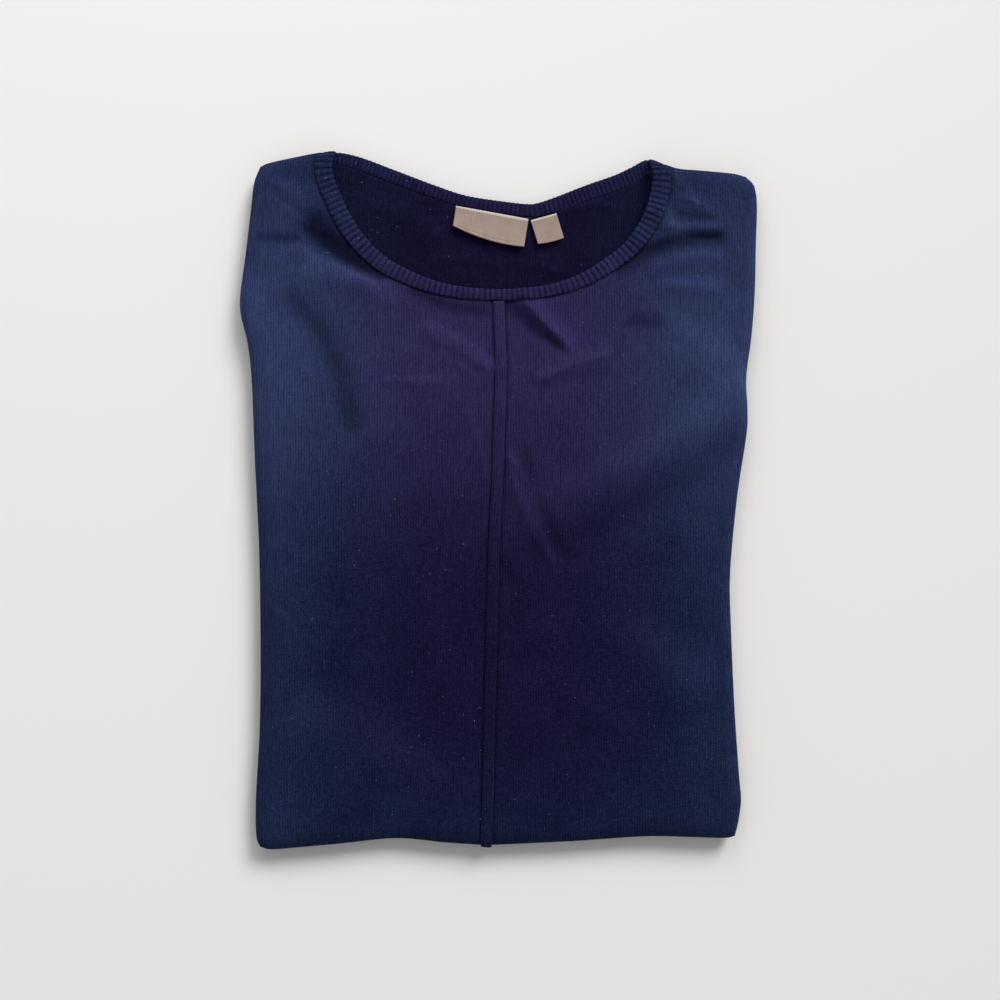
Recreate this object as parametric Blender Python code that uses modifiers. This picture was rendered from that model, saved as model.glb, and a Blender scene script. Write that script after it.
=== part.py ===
"""A fine knit sweater, folded flat and lying face up.

+X is the viewer's right, +Y points to the neck and +Z up, with the origin on the surface
under the middle of the pile. Every size below is in millimetres; MM turns it into metres.
"""
import math
from collections import namedtuple

import bmesh
import bpy
import numpy as np
from mathutils import Matrix

MM = 0.001

# Driving dimensions
WALL = 1.5           # one layer of the body knit
SEAM_GAP = 0.3       # clearance between two sewn pieces
PANEL_HEIGHT = 16.2  # top of the pile in the middle of the body
SIDE_RISE = 1.6      # extra height over the stacked side flaps
NECK_SAG = 3.2       # how far the front drops behind the neckband
SHOULDER_SAG = 2.8   # how far the pile drops along the shoulders
NOSE_REACH = 10.0    # how far in from the outline the fold starts to turn down
NOSE_HEIGHT = 10.5   # height of the widest point of the fold
LIP_HEIGHT = 5.0     # underside of the front, where it has turned under
LIP_REACH = 6.0      # how far in the fold has turned right under
LIP_END = 7.5        # how far in the front stops
SHELF = 4.6          # top of the folded sleeves and flaps at their edges
BED_LOW = 4.75       # top of the hidden layers under the neck opening
BED_DROP = 4.5       # how far the hidden layers lie under the front's face
BACK_HEIGHT = 6.5    # inside face of the back, seen through the neck
BACK_WALL = 1.4
TUCK_WIDTH = 7.7
TUCK_RISE = 1.5
RIB_PITCH = 3.6
RIB_RISE = 0.7
BAND_RISE = 1.6      # how far a neckband stands above the cloth beside it
BAND_DEPTH = 1.2     # how far it reaches below
BAND_END = 2.0       # the back neckband stops this short of its last points below
SHOULDER_TURN = 16.0 # over this length the front neckband turns to lie along the shoulder
BACK_MARGIN = 6.0    # how far the back runs on under the front neckband
BACK_END = 14.0      # how far below each shoulder the back starts
BACK_COLUMNS = 25
BACK_ROWS = 8
BODY_ROWS = 14       # rows of points up a front, below the neckband and beside it
NECK_ROWS = 12
FRONT_COLUMNS = 10
TUCK_STEP = 9.0      # most that two stations of the tuck lie apart
LABEL_WALL = 0.8
BED_CLEAR = 25.0     # the hidden layers stay low this far out from the neckband
BED_RAMP = 35.0      # and rise to their full height over this distance
BED_INSET = 14.0     # their full height starts this far in from the outline
BED_RINGS = (1.0, 0.92, 0.82, 0.7, 0.55, 0.35, 0.15)
LAYER_POINTS = 84    # points round their edge
PILE_MIDDLE = (0.0, 0.2)  # middle of the finished pile, moved to the origin at the end

# Outline of each half from above, as x, y. The first point of a side is the bottom corner
# and its last point is the shoulder corner.
Half = namedtuple("Half", "bottom side shoulder split")
LEFT = Half(
    bottom=[(-8.8, -241.2), (-36, -239.4), (-72, -236.3), (-108, -239.8), (-140, -242.7),
            (-159, -244.1), (-166.8, -242.2)],
    side=[(-166.8, -242.2), (-169.6, -234), (-169.8, -208), (-167.2, -160), (-166.6, -110),
          (-167.4, -40), (-170.6, 30), (-172.8, 84), (-175.6, 110), (-180.2, 129),
          (-180.8, 143), (-177.4, 169), (-173.0, 206), (-171.2, 222), (-166.8, 233.4)],
    shoulder=[(-166.8, 233.4), (-160, 236.4), (-139, 241), (-126, 243.4), (-112, 245)],
    split=0.77)
RIGHT = Half(
    bottom=[(-8.4, -241.2), (20, -240.0), (58, -238.0), (103, -235.0), (135, -235.5),
            (158, -236.1), (165.4, -234.6)],
    side=[(165.4, -234.6), (168.0, -224), (169.8, -209), (168.4, -192), (165.2, -145),
          (162.6, -85), (162.2, -50), (167.0, 2), (173.6, 46), (174.3, 64), (173.4, 86),
          (177.0, 114), (179.4, 146), (180.2, 180), (180.9, 206), (179.2, 219.5),
          (173.2, 226.4)],
    shoulder=[(173.2, 226.4), (164, 228.8), (144, 230.8), (127, 232.2), (118, 234.8),
              (104, 240)],
    split=0.77)

# Raised tuck down the centre front: its middle line, as x, y
TUCK_LINE = [(0.2, 139.2), (1.4, 102), (1.6, 84), (0.4, 50), (-0.7, 14), (-3.0, -28),
             (-4.2, -73), (-6.0, -140), (-7.4, -200), (-8.6, -241.2)]

# Inner edge of the front neckband from the left shoulder round to the right, as x, y, width
NECK = [(-113.2, 245.0, 12.5), (-115.8, 231, 12.5), (-110.4, 214, 12), (-101.2, 196, 12),
        (-91.5, 182.5, 11.5), (-76, 168.5, 11), (-55, 157.4, 9.5), (-32, 150.6, 8.5),
        (-7, 148.0, 8), (20, 148.6, 8), (40, 152.0, 8.5), (58, 158.6, 9.5), (74, 168.8, 10.5),
        (86, 178.0, 11), (95, 189.0, 12), (102, 201.5, 12.5), (106.4, 217, 13),
        (107.4, 229, 13), (104.4, 239.6, 13)]

# Upper edge of the back neckband, as x, y, width. Its ends run on under the front neckband.
BACK_EDGE = [(-119.5, 243.2, 9), (-112, 244.4, 9), (-97, 241.2, 9.2), (-76, 233.4, 9.4),
             (-46, 222, 8.8), (-23, 214.4, 8.4), (2, 210.4, 8.8), (20, 208.4, 9.2),
             (28, 209.2, 9.6), (42, 214, 10.4), (62, 221.8, 11), (82, 228.8, 11),
             (93, 234, 11), (103.5, 239.2, 11), (111, 236.6, 11)]

# Soft ridges (height above 0) and troughs (below 0) of the front, each along a line from
# x0, y0 to x1, y1, bowed sideways by bow, fading out at reach from that line
Fold = namedtuple("Fold", "name x0 y0 x1 y1 bow reach height")
FRONT_FOLDS = [
    Fold("trough below the left neckband", -145, 200, -84, 166, -5, 11, -2.4),
    Fold("dimple at the left side", -166, 182, -142, 181, 0, 8, -1.2),
    Fold("slack of the left chest", -143, 138, -104, 56, 8, 14, -1.6),
    Fold("ridge of the left chest", -133, 158, -78, 140, 4, 12, 1.6),
    Fold("bulge at the left side", -176, 150, -172, 120, 0, 14, 1.2),
    Fold("trough left of the neck centre", -58, 145, -12, 131, -3, 8, -1.5),
    Fold("ridge left of the tuck", -46, 119, -6, 94, 3, 10, 1.4),
    Fold("soft line on the left", -78, 83, -42, 83, 0, 6, 0.5),
    Fold("lines beside the tuck", -23, 63, -8, 14, 2, 6, 0.6),
    Fold("wedge right of the tuck", 6, 138, 50, 108, -4, 9, -2.6),
    Fold("edge over the wedge", 26, 142, 64, 120, -3, 7, 1.2),
    Fold("ridge on the right chest", 32, 88, 74, 99, 2, 7, 1.0),
    Fold("shade under that ridge", 30, 78, 74, 86, 2, 7, -0.8),
    Fold("crease right of the tuck", 7, 32, 38, -43, -5, 6, 1.1),
    Fold("shade of that crease", 18, 34, 49, -40, -5, 7, -0.9),
    Fold("hollow beside the tuck", 4, -45, 14, -82, 2, 9, -1.0),
    Fold("ridge by the right neckband", 120, 203, 132, 180, 0, 10, 1.4),
    Fold("trough of the right shoulder", 80, 160, 166, 181, 6, 10, -2.2),
    Fold("shade at the right shoulder", 141, 194, 174, 190, 0, 8, -1.0),
    Fold("ridge below that trough", 116, 150, 156, 153, 3, 12, 1.5),
    Fold("dimple of the right chest", 94, 124, 112, 122, 0, 11, -1.4),
    Fold("slack of the right chest", 120, 120, 170, 84, 4, 16, 1.2),
    Fold("strip from the right neck end", 122, 228, 138, 206, 0, 6, 1.0),
    Fold("long swell across the right", 168, 76, 24, 2, 6, 20, 1.0),
    Fold("hollow under that swell", 166, 44, 30, -34, 6, 20, -0.9),
    Fold("swell at the lower right", 98, -92, 142, -124, 0, 22, 0.8),
    Fold("swell at the lower left", -130, -150, -50, -190, 8, 26, 0.7),
]
BACK_FOLDS = [
    Fold("lifted patch of the back", -88, 206, -46, 184, 4, 16, 1.6),
    Fold("crease above the front band", -44, 168, 0, 164, 2, 6, 0.9),
    Fold("crease right of it", 16, 166, 44, 160, 0, 7, 0.8),
    Fold("fold under the right of the back band", 46, 203, 78, 206, 2, 6, 0.9),
]

# Edge of the hidden layers from the underside up: how far in from the outline, and height
GROOVE_HEIGHT = 2.3  # the groove between the two hidden layers that show
Step = namedtuple("Step", "inset height")
EDGE_LAYERS = [Step(3.6, 0.0), Step(2.3, 0.8), Step(2.7, 1.9), Step(4.8, GROOVE_HEIGHT),
               Step(2.1, 2.8), Step(1.2, 3.7), Step(2.4, 4.5), Step(9.0, SHELF)]
EDGE_UNEVEN = 0.45   # the layers lie unevenly by this much, in this many waves
EDGE_WAVES = 7

# Corners of the labels: top left, top right, bottom right, bottom left, then lower-edge lift
Label = namedtuple("Label", "corners bow lift")
MAIN_LABEL = Label([(-29.8, 206.6), (21.0, 197.4), (17.9, 177.5), (-31.9, 192.2)], -2.6, 2.2)
SIZE_LABEL = Label([(22.6, 196.4), (40.6, 201.4), (45.9, 183.8), (27.7, 179.6)], -0.6, 1.4)

# Rows near an edge, as distances in from the outline, so that the fold is round
NOSE_ROWS = [0.0, 1.34, 5.0, NOSE_REACH]
LIP_ANGLES = [120, 150, 180]

NAVY = (0.020, 0.026, 0.075, 1.0)
DEEP_NAVY = (0.014, 0.018, 0.052, 1.0)
BEIGE = (0.36, 0.29, 0.28, 1.0)


def spline(points, steps=12):
    """A smooth line through the points."""
    knots = np.array(points, float)
    ends = np.vstack([2 * knots[0] - knots[1], knots, 2 * knots[-1] - knots[-2]])
    t = np.linspace(0, 1, steps, endpoint=False)[:, None]
    spans = []
    for a, b, c, d in zip(ends, ends[1:], ends[2:], ends[3:]):
        spans.append(0.5 * (2 * b + (c - a) * t + (2 * a - 5 * b + 4 * c - d) * t ** 2
                            + (3 * b - a - 3 * c + d) * t ** 3))
    return np.vstack(spans + [knots[-1:]])


def run_along(line):
    """Length run from the start of a line to each of its points."""
    steps = np.linalg.norm(np.diff(line, axis=0), axis=1)
    return np.concatenate([[0.0], np.cumsum(steps)])


def read_at(marks, run, columns):
    """Each column of values, read at the marks along a run."""
    return np.column_stack([np.interp(marks, run, column) for column in columns.T])


def at_run(line, runs):
    """Points of a line at the given lengths from its start."""
    return read_at(runs, run_along(line), line)


def at_share(line, shares):
    """Points of a line at the given shares of its length."""
    return at_run(line, np.asarray(shares) * run_along(line)[-1])


def smooth_step(value):
    t = np.clip(value, 0, 1)
    return t * t * (3 - 2 * t)


def signed_distance(points, line):
    """Distance in plan to a line, above zero on its left-hand side."""
    start = line[:-1, :2]
    span = line[1:, :2] - start
    to_point = points[:, None, :2] - start
    share = np.clip((to_point * span).sum(2) / (span * span).sum(1), 0, 1)
    offset = to_point - share[..., None] * span
    length = np.linalg.norm(offset, axis=2)
    nearest = length.argmin(1)
    row = np.arange(len(points))
    cross = span[nearest, 0] * offset[row, nearest, 1] - span[nearest, 1] * offset[row, nearest, 0]
    return length[row, nearest] * np.where(cross >= 0, 1, -1)


def fold_sum(points, folds):
    """Height that the folds add at each point."""
    total = np.zeros(len(points))
    for fold in folds:
        start = np.array([fold.x0, fold.y0])
        span = np.array([fold.x1, fold.y1]) - start
        length = np.linalg.norm(span)
        along = (points[:, :2] - start) @ span / length ** 2
        across = (points[:, :2] - start) @ np.array([-span[1], span[0]]) / length
        middle = np.clip(along, 0, 1)
        across = across - fold.bow * 4 * middle * (1 - middle)
        past = (along - middle) * length
        total += fold.height * np.exp(-(across ** 2 + past ** 2) / (0.6 * fold.reach) ** 2)
    return total


def crown(points):
    """Height of the pile's face without its folds."""
    x, y = points[:, 0], points[:, 1]
    side = SIDE_RISE * (x / 170) ** 2
    neck = NECK_SAG * np.exp(-(x / 80) ** 2 - ((y - 150) / 60) ** 2)
    shoulder = SHOULDER_SAG * np.exp(-((y - 245) / 55) ** 2)
    return PANEL_HEIGHT + side - neck - shoulder


def half_outline(half):
    """Bottom, side and shoulder of one half as a single line."""
    parts = [spline(half.bottom), spline(half.side)[1:], spline(half.shoulder)[1:]]
    return np.vstack(parts)


def face_height(points, outline):
    """Height of a front's outer face, turning down at the outline."""
    inset = np.abs(signed_distance(points, outline))
    turn = np.sqrt(1 - (1 - np.clip(inset / NOSE_REACH, 0, 1)) ** 2)
    top = crown(points) + fold_sum(points, FRONT_FOLDS)
    return NOSE_HEIGHT + (top - NOSE_HEIGHT) * turn


def inward(points, inset):
    """Move outline points towards the middle of the pile, also round the corners."""
    x, y = points[:, 0], points[:, 1]
    pull_x = np.clip((np.abs(x) - 120) / 40, 0, 1) * inset
    pull_y = np.clip((np.abs(y) - 165) / 38, 0, 1) * inset
    return np.column_stack([x - np.sign(x) * pull_x, y - np.sign(y) * pull_y])


def neck_edges():
    """Inner edge, way out from it and widths of the front neckband."""
    line = spline(NECK)
    inner = line[:, :2]
    tangent = np.gradient(inner, axis=0)
    tangent /= np.linalg.norm(tangent, axis=1)[:, None]
    outward = np.column_stack([tangent[:, 1], -tangent[:, 0]])
    run = run_along(inner)
    for half, from_end in ((LEFT, run), (RIGHT, run[-1] - run)):
        along = np.array(half.shoulder[-2]) - np.array(half.shoulder[-1])
        share = smooth_step(1 - from_end / SHOULDER_TURN)[:, None]
        outward = outward * (1 - share) + along / np.linalg.norm(along) * share
    outward /= np.linalg.norm(outward, axis=1)[:, None]
    return inner, outward, line[:, 2]


def neck_outside(points):
    """Distance out from the neckband's inner edge, below zero inside the opening."""
    inner = neck_edges()[0]
    reach_up = np.array([0, 30])
    line = np.vstack([inner[0] + reach_up, inner, inner[-1] + reach_up])
    return -signed_distance(points, line)


def bed_height(points):
    """Top of the hidden layers."""
    rise = smooth_step((neck_outside(points) - BED_CLEAR) / BED_RAMP)
    return BED_LOW + (crown(points) - BED_DROP - BED_LOW) * rise


def material(name, colour, roughness):
    finish = bpy.data.materials.new(name)
    finish.use_nodes = True
    shader = finish.node_tree.nodes["Principled BSDF"]
    shader.inputs["Base Color"].default_value = colour
    shader.inputs["Roughness"].default_value = roughness
    shader.inputs["Metallic"].default_value = 0.0
    return finish


def add_object(name, mesh, finish):
    mesh.materials.append(finish)
    mesh.shade_smooth()
    mesh.transform(Matrix.Translation((-PILE_MIDDLE[0] * MM, -PILE_MIDDLE[1] * MM, 0.0)))
    piece = bpy.data.objects.new(name, mesh)
    bpy.data.collections["folded_sweater"].objects.link(piece)
    return piece


def loft(name, rows, closed=False, centre=None):
    """A mesh through rows of points. Closed rows are rings with a cap on each end, and the
    last cap is a fan where a centre point is given."""
    count = len(rows[0])
    points = [tuple(point * MM) for row in rows for point in row]
    faces = []
    for level in range(len(rows) - 1):
        for k in range(count if closed else count - 1):
            a = level * count + k
            b = level * count + (k + 1) % count
            faces.append((a, b, b + count, a + count))
    if closed:
        faces.append(tuple(reversed(range(count))))
        last = (len(rows) - 1) * count
        if centre is None:
            faces.append(tuple(range(last, last + count)))
        else:
            points.append(tuple(centre * MM))
            for k in range(count):
                faces.append((last + k, last + (k + 1) % count, len(points) - 1))
    mesh = bpy.data.meshes.new(name)
    mesh.from_pydata(points, [], faces)
    return mesh


def weld(name, meshes):
    """Join meshes that share edge points, with their faces turned out."""
    joined = bmesh.new()
    for mesh in meshes:
        joined.from_mesh(mesh)
        bpy.data.meshes.remove(mesh)
    bmesh.ops.remove_doubles(joined, verts=joined.verts, dist=0.01 * MM)
    bmesh.ops.recalc_face_normals(joined, faces=joined.faces)
    result = bpy.data.meshes.new(name)
    joined.to_mesh(result)
    joined.free()
    return result


def thicken(piece, thickness):
    wall = piece.modifiers.new("wall", "SOLIDIFY")
    wall.thickness = thickness * MM
    wall.offset = -1
    wall.use_even_offset = True


def seam_line(half, side):
    """Inner boundary of a front: up beside the centre seam, then round the neckband."""
    seam = spline(TUCK_LINE)[::-1]
    seam = seam + np.array([side * SEAM_GAP * 0.6, 0])
    inner, outward, width = neck_edges()
    edge = inner + outward * (width + 3 * SEAM_GAP)[:, None]
    if side < 0:
        edge = edge[::-1]
    edge = edge[(edge[:, 0] - seam[-1, 0]) * side > 1]
    top = spline(half.shoulder)
    edge = edge[edge[:, 1] < np.interp(edge[-1, 0] * side, top[::-1, 0] * side, top[::-1, 1]) - 1]
    meet = top[np.linalg.norm(top - edge[-1], axis=1).argmin()]
    return np.vstack([seam, edge, meet]), run_along(seam)[-1]


def front_rows(half, side, body_rows, neck_rows, columns):
    """Plan of one front as rows from the bottom fold to the shoulder."""
    inner, split_run = seam_line(half, side)
    outer = spline(half.side)
    bottom = spline(half.bottom)
    shoulder = spline(half.shoulder)
    shoulder = shoulder[:np.linalg.norm(shoulder - inner[-1], axis=1).argmin() + 1][::-1]
    inner_end, outer_end = run_along(inner)[-1], run_along(outer)[-1]
    turn = np.array(NOSE_ROWS)
    outer_split = half.split * outer_end
    inner_runs = np.concatenate([
        turn[:-1], np.linspace(NOSE_REACH, split_run, body_rows, endpoint=False),
        np.linspace(split_run, inner_end - NOSE_REACH, neck_rows, endpoint=False),
        inner_end - turn[::-1]])
    neck = np.linspace(split_run, inner_end - NOSE_REACH, neck_rows, endpoint=False)
    climb = at_run(inner, neck)[:, 1] - inner[-1, 1]
    progress = 0.5 * (1 - climb / climb[0]) + 0.5 * np.linspace(0, 1, neck_rows, endpoint=False)
    outer_runs = np.concatenate([
        turn[:-1], np.linspace(NOSE_REACH, outer_split, body_rows, endpoint=False),
        outer_split + (outer_end - NOSE_REACH - outer_split) * progress,
        outer_end - turn[::-1]])
    rows = []
    for start, end, height in zip(at_run(inner, inner_runs), at_run(outer, outer_runs),
                                  outer_runs / outer_end):
        length = np.linalg.norm(end - start)
        share = np.concatenate([np.linspace(0, 1 - NOSE_REACH / length, columns,
                                            endpoint=False), 1 - turn[::-1] / length])
        straight = start + (end - start) * share[:, None]
        low = at_share(bottom, share) - (bottom[0] + (bottom[-1] - bottom[0]) * share[:, None])
        high = at_share(shoulder, share)
        high = high - (shoulder[0] + (shoulder[-1] - shoulder[0]) * share[:, None])
        rows.append(straight + low * (1 - height) + high * height)
    return np.array(rows)


def lip_rows(border):
    """Rows that turn under from the widest line of the fold."""
    rows = [np.column_stack([border, np.full(len(border), NOSE_HEIGHT)])]
    for angle in LIP_ANGLES:
        turn = math.radians(angle)
        height = NOSE_HEIGHT + (NOSE_HEIGHT - LIP_HEIGHT) * math.cos(turn)
        plan = inward(border, LIP_REACH * (1 - math.sin(turn)))
        rows.append(np.column_stack([plan, np.full(len(plan), height)]))
    plan = inward(border, LIP_END)
    rows.append(np.column_stack([plan, np.full(len(plan), LIP_HEIGHT)]))
    return rows


def front(name, half, side, finish):
    """One half of the front, folded round the bottom, the side and the shoulder."""
    outline = half_outline(half)
    plan = front_rows(half, side, BODY_ROWS, NECK_ROWS, FRONT_COLUMNS)
    rows = np.array([np.column_stack([row, face_height(row, outline)]) for row in plan])
    rows[0, :, 2] = rows[-1, :, 2] = rows[:, -1, 2] = NOSE_HEIGHT
    border = np.vstack([plan[0], plan[1:-1, -1], plan[-1][::-1]])
    face = loft(name, rows)
    turned = loft(name, lip_rows(border))
    mesh = weld(name, [face, turned])
    piece = add_object(name, mesh, finish)
    thicken(piece, WALL)
    return rows


def sweep(name, path, across, section, finish):
    """A closed strip: section(k) gives its outline at station k as across, height."""
    tangent = np.gradient(path, axis=0)
    normal = np.cross(tangent, across)
    normal /= np.linalg.norm(normal, axis=1)[:, None]
    rows = []
    for k, point in enumerate(path):
        rows.append(np.array([point + across[k] * a + normal[k] * h for a, h in section(k)]))
    mesh = weld(name, [loft(name, rows, closed=True)])
    return add_object(name, mesh, finish)


def neckband_section(width, rise):
    """Rounded double knit, inner edge first, with its ribs in the upper points."""
    return [(1.4, -BAND_DEPTH), (0.0, 0.1), (1.3, 0.75 * rise), (0.5 * width, rise),
            (width - 1.0, 0.7 * rise), (width - 0.1, -0.1), (width - 1.6, -BAND_DEPTH)]


def rib(k):
    """Every second station is the top of a rib."""
    return BAND_RISE - (k % 2) * RIB_RISE


def front_neckband(finish):
    """The ribbed band round the front of the neck, turning down over each shoulder."""
    inner, outward, width = neck_edges()
    edge_run = run_along(inner)
    dense = np.linspace(0, edge_run[-1], 600)
    plan = at_run(inner, dense)
    out = read_at(dense, edge_run, outward)
    wide = np.interp(dense, edge_run, width)
    beside = plan + out * wide[:, None]
    top = crown(beside) + fold_sum(beside, FRONT_FOLDS)
    inset = np.minimum(dense, edge_run[-1] - dense) - BAND_RISE
    keep = inset >= 0
    turn = np.sqrt(1 - (1 - np.clip(inset[keep] / NOSE_REACH, 0, 1)) ** 2)
    height = NOSE_HEIGHT + (top[keep] - NOSE_HEIGHT) * turn
    path = np.column_stack([plan[keep], height])
    run = run_along(path)
    stations = 2 * round(run[-1] / RIB_PITCH) + 1
    marks = np.linspace(0, run[-1], stations)
    path = read_at(marks, run, path)
    across = read_at(marks, run, np.column_stack([out[keep], np.zeros(keep.sum())]))
    widths = np.interp(marks, run, wide[keep])
    return sweep("neckband_front", path, -across,
                 lambda k: [(-a, h) for a, h in neckband_section(widths[k], rib(k))], finish)


def back_band_lines():
    """Stations of the back neckband: its upper edge, the way in from it, and its width."""
    line = spline(BACK_EDGE)
    edge = line[:, :2]
    run = run_along(edge)
    stations = 2 * round((run[-1] - 2 * BAND_END) / RIB_PITCH) + 1
    marks = np.linspace(BAND_END, run[-1] - BAND_END, stations)
    plan = at_run(edge, marks)
    tangent = np.gradient(plan, axis=0)
    tangent /= np.linalg.norm(tangent, axis=1)[:, None]
    inward_way = np.column_stack([tangent[:, 1], -tangent[:, 0]])
    return plan, inward_way, np.interp(marks, run, line[:, 2])


def back_neckband(finish):
    """The ribbed band round the back of the neck, seen from inside."""
    plan, way, widths = back_band_lines()
    path = np.column_stack([plan, np.full(len(plan), BACK_HEIGHT - SEAM_GAP)])
    across = np.column_stack([way, np.zeros(len(way))])
    return sweep("neckband_back", path, -across,
                 lambda k: [(-a, h) for a, h in neckband_section(widths[k], rib(k))], finish)


def back_height(points):
    return BACK_HEIGHT + fold_sum(points, BACK_FOLDS)


def back_panel(finish):
    """Inside of the back, reaching a little way under the front all round."""
    inner, outward, width = neck_edges()
    run = run_along(inner)
    marks = np.linspace(BACK_END, run[-1] - BACK_END, BACK_COLUMNS)
    hidden = read_at(marks, run, inner + outward * BACK_MARGIN)
    plan, way, widths = back_band_lines()
    seam = plan + way * (widths + 2 * SEAM_GAP)[:, None]
    seam = at_share(seam, np.linspace(0.01, 0.99, BACK_COLUMNS))
    rows = []
    for share in np.linspace(0, 1, BACK_ROWS):
        row = hidden + (seam - hidden) * share
        rows.append(np.column_stack([row, back_height(row)]))
    mesh = weld("back_panel", [loft("back_panel", rows)])
    piece = add_object("back_panel", mesh, finish)
    thicken(piece, BACK_WALL)
    return piece


def centre_tuck(seam, finish):
    """The raised tuck, moved out from the points of the front beside the seam."""
    run = run_along(seam)
    stations = [np.linspace(a, b, math.ceil((b - a) / TUCK_STEP), endpoint=False)
                for a, b in zip(run, run[1:])]
    path = at_run(seam, np.concatenate(stations + [run[-1:]]))
    path[:, 0] += SEAM_GAP * 0.6
    half = TUCK_WIDTH / 2
    low = SEAM_GAP + 0.15
    section = [(-half, low), (half, low), (half + 0.1, low + 0.5), (half - 1.2, TUCK_RISE),
               (0.0, TUCK_RISE + 0.35), (1.2 - half, TUCK_RISE), (-half - 0.1, low + 0.5)]
    across = np.tile([1.0, 0.0, 0.0], (len(path), 1))
    return sweep("centre_tuck", path, across, lambda k: section, finish)


def label(name, shape, finish):
    """A woven tab, sewn along its top edge and lifting towards its lower edge."""
    top_left, top_right, low_right, low_left = [np.array(corner) for corner in shape.corners]
    rows = []
    for down in np.linspace(0, 1, 4):
        across = np.linspace(0, 1, 7)[:, None]
        row = (top_left + (top_right - top_left) * across) * (1 - down)
        row = row + (low_left + (low_right - low_left) * across) * down
        row[:, 1] += shape.bow * down * 4 * (across * (1 - across))[:, 0]
        lift = SEAM_GAP + 0.2 + LABEL_WALL + shape.lift * down ** 2
        rows.append(np.column_stack([row, back_height(row) + lift]))
    mesh = weld(name, [loft(name, rows)])
    piece = add_object(name, mesh, finish)
    thicken(piece, LABEL_WALL)
    return piece


def folded_layers(finish):
    """Side flaps, sleeves and bottom flap behind the front, layered at the edges."""
    left = half_outline(LEFT)
    right = half_outline(RIGHT)[::-1]
    neck = spline(BACK_EDGE)[1:-1, :2]
    neck = neck[(neck[:, 0] > left[-1, 0]) & (neck[:, 0] < right[0, 0])]
    loop = np.vstack([left, neck, right])[::-1]
    loop = at_share(loop, np.linspace(0, 1, LAYER_POINTS, endpoint=False))
    wave = np.sin(np.linspace(0, 2 * math.pi * EDGE_WAVES, len(loop), endpoint=False))
    rows = []
    for step in EDGE_LAYERS:
        way = 1 if step.height > GROOVE_HEIGHT else -1
        plan = inward(loop, step.inset + EDGE_UNEVEN * way * wave)
        rows.append(np.column_stack([plan, np.full(len(plan), step.height)]))
    top = inward(loop, BED_INSET)
    raised = SHELF + 0.6 * (bed_height(top) - SHELF)
    rows.append(np.column_stack([inward(loop, NOSE_REACH), raised]))
    for share in BED_RINGS:
        plan = top * share
        rows.append(np.column_stack([plan, bed_height(plan)]))
    middle = np.zeros((1, 2))
    centre = np.append(middle[0], bed_height(middle)[0])
    mesh = weld("folded_layers", [loft("folded_layers", rows, closed=True, centre=centre)])
    return add_object("folded_layers", mesh, finish)


def seam_points(rows, border_start):
    """Front points beside the centre seam, from the neckband down and round the bottom."""
    side = [row[0] for row in rows[:len(NOSE_ROWS) + BODY_ROWS]][::-1]
    turned = [row[0] for row in lip_rows(border_start)[1:2]]
    return np.array(side + turned)


def build():
    for thing in list(bpy.data.objects):
        bpy.data.objects.remove(thing, do_unlink=True)
    parts = bpy.data.collections.new("folded_sweater")
    bpy.context.scene.collection.children.link(parts)
    knit = material("navy_knit", NAVY, 0.9)
    ribbing = material("navy_rib", DEEP_NAVY, 0.88)
    woven = material("woven_label", BEIGE, 0.7)
    rows = front("front_left", LEFT, -1, knit)
    front("front_right", RIGHT, 1, knit)
    centre_tuck(seam_points(rows, rows[0][:1, :2]), knit)
    front_neckband(ribbing)
    back_neckband(ribbing)
    back_panel(knit)
    label("label_main", MAIN_LABEL, woven)
    label("label_size", SIZE_LABEL, woven)
    folded_layers(knit)


build()
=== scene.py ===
"""The looks of a fine knit sweater, folded flat and lying face up.

Sizes are in millimetres unless a name says otherwise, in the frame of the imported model:
+X to the viewer's right, +Y to the neck, +Z up.
"""
import math
from collections import namedtuple

import bmesh
import bpy
import numpy as np
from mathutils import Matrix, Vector, noise


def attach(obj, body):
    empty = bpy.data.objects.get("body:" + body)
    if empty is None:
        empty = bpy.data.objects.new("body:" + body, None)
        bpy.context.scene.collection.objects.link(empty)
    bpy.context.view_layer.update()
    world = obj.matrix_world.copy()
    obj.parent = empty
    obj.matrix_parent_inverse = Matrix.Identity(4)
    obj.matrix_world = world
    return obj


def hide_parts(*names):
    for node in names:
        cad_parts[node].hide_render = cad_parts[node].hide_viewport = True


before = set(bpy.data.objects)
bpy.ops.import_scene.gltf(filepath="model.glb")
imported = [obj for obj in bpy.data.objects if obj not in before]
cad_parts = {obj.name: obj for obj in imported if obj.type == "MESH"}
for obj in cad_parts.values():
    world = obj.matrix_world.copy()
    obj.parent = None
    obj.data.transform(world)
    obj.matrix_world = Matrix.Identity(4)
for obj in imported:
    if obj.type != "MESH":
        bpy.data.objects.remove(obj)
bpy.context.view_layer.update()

MM = 0.001
PILE_MIDDLE = (0.0, 0.2)  # the outlines below are drawn this far off the frame's origin

# Sizes shared with the solids
WALL = 1.5
PANEL_HEIGHT = 16.2
SIDE_RISE = 1.6
NECK_SAG = 3.2
SHOULDER_SAG = 2.8
NOSE_REACH = 10.0
NOSE_HEIGHT = 10.5
LIP_HEIGHT = 5.0
LIP_REACH = 6.0
LIP_END = 7.5
SHELF = 4.6
BACK_HEIGHT = 6.5
BACK_WALL = 1.4
TUCK_WIDTH = 7.7
BAND_RISE = 1.6
BAND_DEPTH = 1.2
SHOULDER_TURN = 16.0
BED_LOW = 4.75
BED_DROP = 4.5
BED_CLEAR = 25.0
BED_RAMP = 35.0
BED_INSET = 14.0
BAND_END = 2.0
LABEL_WALL = 0.8
SEAM_GAP = 0.3

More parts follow.
